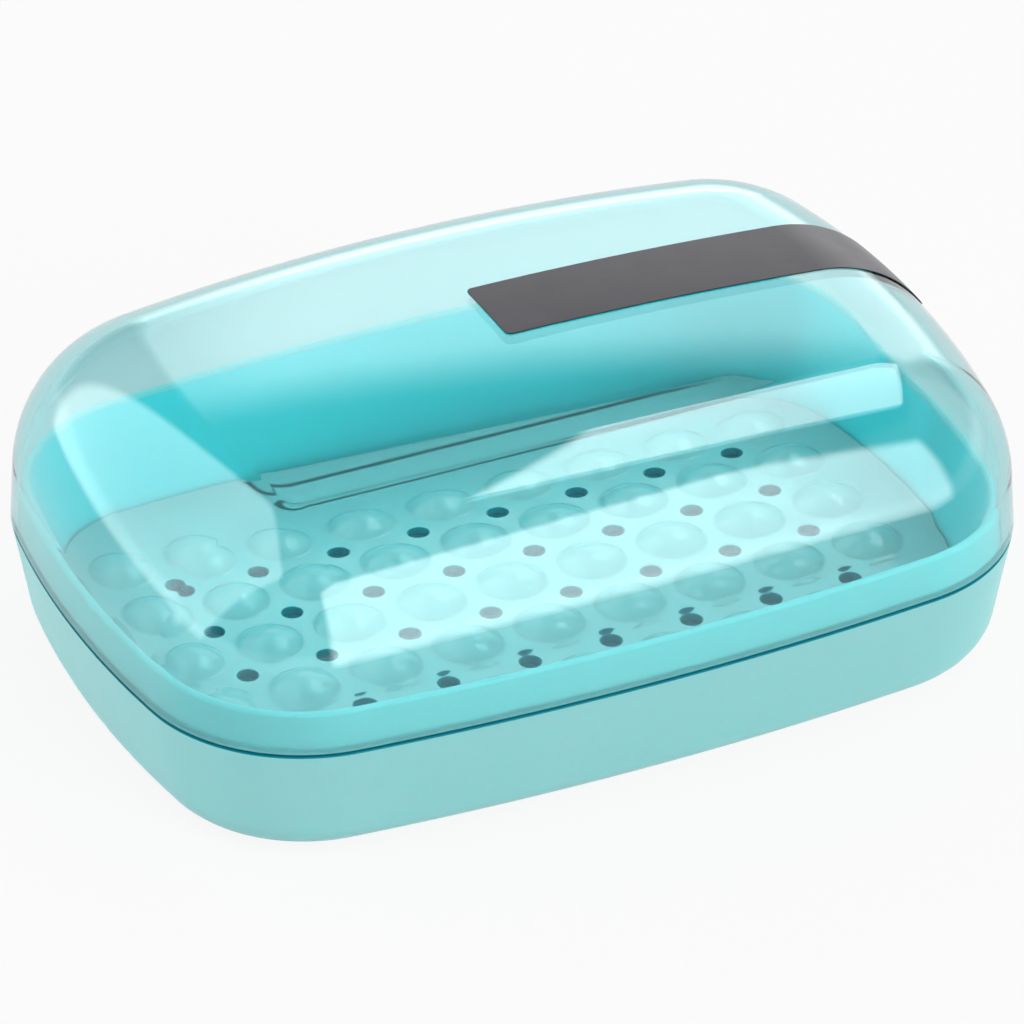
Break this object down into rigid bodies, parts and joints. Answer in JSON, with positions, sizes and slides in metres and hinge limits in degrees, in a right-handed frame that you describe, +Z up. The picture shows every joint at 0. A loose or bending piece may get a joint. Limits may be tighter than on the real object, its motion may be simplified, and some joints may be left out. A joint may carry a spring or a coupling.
{
  "type": "travel soap box",
  "caption": "Travel soap box: opaque rounded base with a raised rim, loose perforated drain tray with domed bumps, clear domed lid that lifts off, and a plain label strip on the lid.",
  "frame": {"origin": "middle of the base's flat underside", "axes": "+X along the box's length towards the end that the label strip runs over, +Y across its width, +Z up through the lid"},
  "size_m": [0.115, 0.081, 0.0428],
  "materials": {
    "base_plastic": "glossy moulded aqua, opaque",
    "tray_plastic": "glossy moulded aqua, opaque",
    "lid_clear_plastic": "clear aqua tint, polished",
    "label_film": "dark grey film, satin"
  },
  "bodies": {
    "base": {"base": "base_plastic"},
    "tray": {"drain_tray": "tray_plastic"},
    "lid": {"lid": "lid_clear_plastic", "label_strip": "label_film"}
  },
  "joints": [
    {"name": "tray_lift", "type": "slide", "parent": "base", "child": "tray", "axis": [0, 0, 1], "range_m": [0, 0.02]},
    {"name": "lid_lift", "type": "slide", "parent": "base", "child": "lid", "axis": [0, 0, 1], "range_m": [0, 0.045]}
  ]
}
